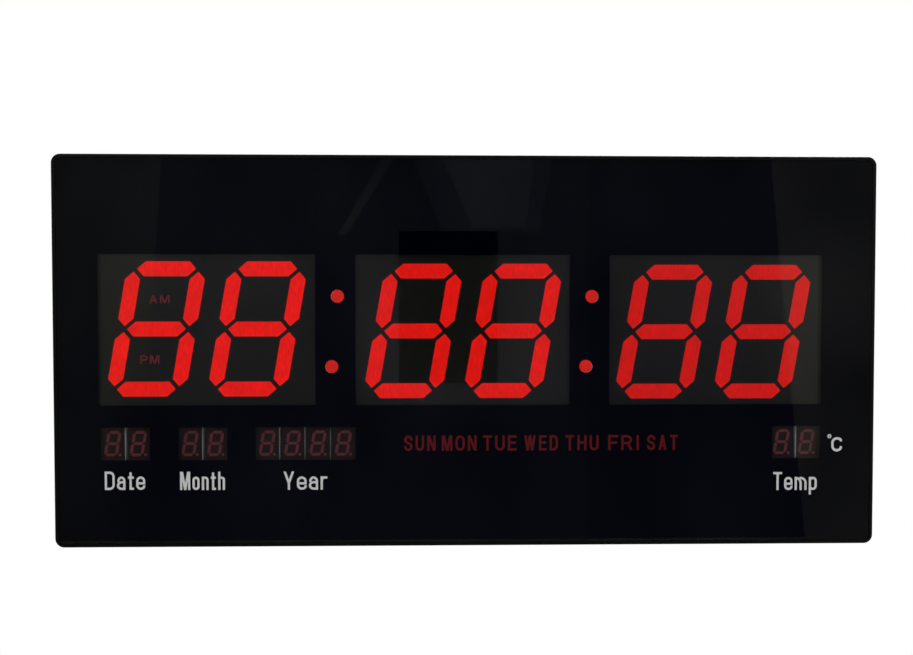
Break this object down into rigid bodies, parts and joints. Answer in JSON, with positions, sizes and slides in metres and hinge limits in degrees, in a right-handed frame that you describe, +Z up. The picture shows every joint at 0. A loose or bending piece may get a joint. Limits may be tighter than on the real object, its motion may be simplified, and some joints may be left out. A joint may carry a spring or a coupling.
{
  "type": "digital wall clock",
  "caption": "Wide flat wall clock: large red seven-segment digits behind a glossy black front, small date and temperature displays, keyhole rear cover, setting buttons, power inlet.",
  "frame": {"origin": "middle of the rear face, on the wall", "axes": "+X right as seen from the front, +Y into the wall, +Z up"},
  "size_m": [0.46, 0.03, 0.2186],
  "materials": {
    "case_plastic": "fine moulded texture",
    "clear_acrylic": "clear polished sheet",
    "black_film": "screen-printed black",
    "adhesive_tape": "foam tape",
    "white_plastic": "white moulded reflector",
    "grey_face": "grey face film",
    "lit_red": "lit red diffuser",
    "module_body": "white sides, grey face",
    "unlit_red": "unlit red diffuser",
    "diffuser_film": "frosted film",
    "led_package": "clear lens on white package",
    "circuit_board": "green solder mask",
    "chip_black": "moulded epoxy",
    "crystal_can": "drawn metal can",
    "capacitor_can": "aluminium can",
    "holder_plastic": "moulded",
    "cell_steel": "stamped steel",
    "contact_metal": "spring metal",
    "cap_plastic": "fine moulded texture",
    "jack_plastic": "moulded",
    "nut_metal": "plated",
    "lead_insulation": "soft vinyl",
    "connector_plastic": "natural nylon",
    "button_rubber": "satin",
    "plunger_plastic": "moulded",
    "screw_steel": "black zinc"
  },
  "bodies": {
    "case": {"front_frame": "case_plastic", "rear_cover": "case_plastic", "front_panel": "clear_acrylic", "mask_film": "black_film", "panel_tape": "adhesive_tape", "hour_housing": "white_plastic", "minute_housing": "white_plastic", "second_housing": "white_plastic", "colon_tubes": "white_plastic", "weekday_light_box": "white_plastic", "hour_face": "grey_face", "minute_face": "grey_face", "second_face": "grey_face", "hour_segments": "lit_red", "minute_segments": "lit_red", "second_segments": "lit_red", "colon_lenses": "lit_red", "date_modules": "module_body", "month_modules": "module_body", "year_modules": "module_body", "temp_modules": "module_body", "date_segments": "unlit_red", "month_segments": "unlit_red", "year_segments": "unlit_red", "temp_segments": "unlit_red", "weekday_diffuser": "diffuser_film", "segment_leds": "led_package", "colon_leds": "led_package", "weekday_leds": "led_package", "main_pcb": "circuit_board", "controller_chip": "chip_black", "driver_chips": "chip_black", "segment_resistors": "chip_black", "voltage_regulator": "chip_black", "buzzer": "chip_black", "temperature_sensor": "chip_black", "clock_crystal": "crystal_can", "filter_capacitors": "capacitor_can", "cell_holder": "holder_plastic", "switch_bodies": "holder_plastic", "coin_cell": "cell_steel", "cell_contact": "contact_metal", "dc_jack": "jack_plastic", "jack_nut": "nut_metal", "power_leads": "lead_insulation", "lead_connector": "connector_plastic", "case_screws": "screw_steel", "board_screws": "screw_steel"},
    "alarm_key": {"alarm_button": "button_rubber", "alarm_plunger": "plunger_plastic"},
    "set_key": {"set_button": "button_rubber", "set_plunger": "plunger_plastic"},
    "down_key": {"down_button": "button_rubber", "down_plunger": "plunger_plastic"},
    "up_key": {"up_button": "button_rubber", "up_plunger": "plunger_plastic"},
    "cap": {"battery_cap": "cap_plastic"}
  },
  "joints": [
    {"name": "alarm_press", "type": "slide", "parent": "case", "child": "alarm_key", "axis": [0, -1, 0], "range_m": [0, 0.0005], "stiffness_N_per_m": 3000},
    {"name": "set_press", "type": "slide", "parent": "case", "child": "set_key", "axis": [0, -1, 0], "range_m": [0, 0.0005], "stiffness_N_per_m": 3000},
    {"name": "down_press", "type": "slide", "parent": "case", "child": "down_key", "axis": [0, -1, 0], "range_m": [0, 0.0005], "stiffness_N_per_m": 3000},
    {"name": "up_press", "type": "slide", "parent": "case", "child": "up_key", "axis": [0, -1, 0], "range_m": [0, 0.0005], "stiffness_N_per_m": 3000},
    {"name": "cap_turn", "type": "hinge", "parent": "case", "child": "cap", "pos_m": [0.11, 0, -0.012], "axis": [0, 1, 0], "range_deg": [0, 60]}
  ]
}
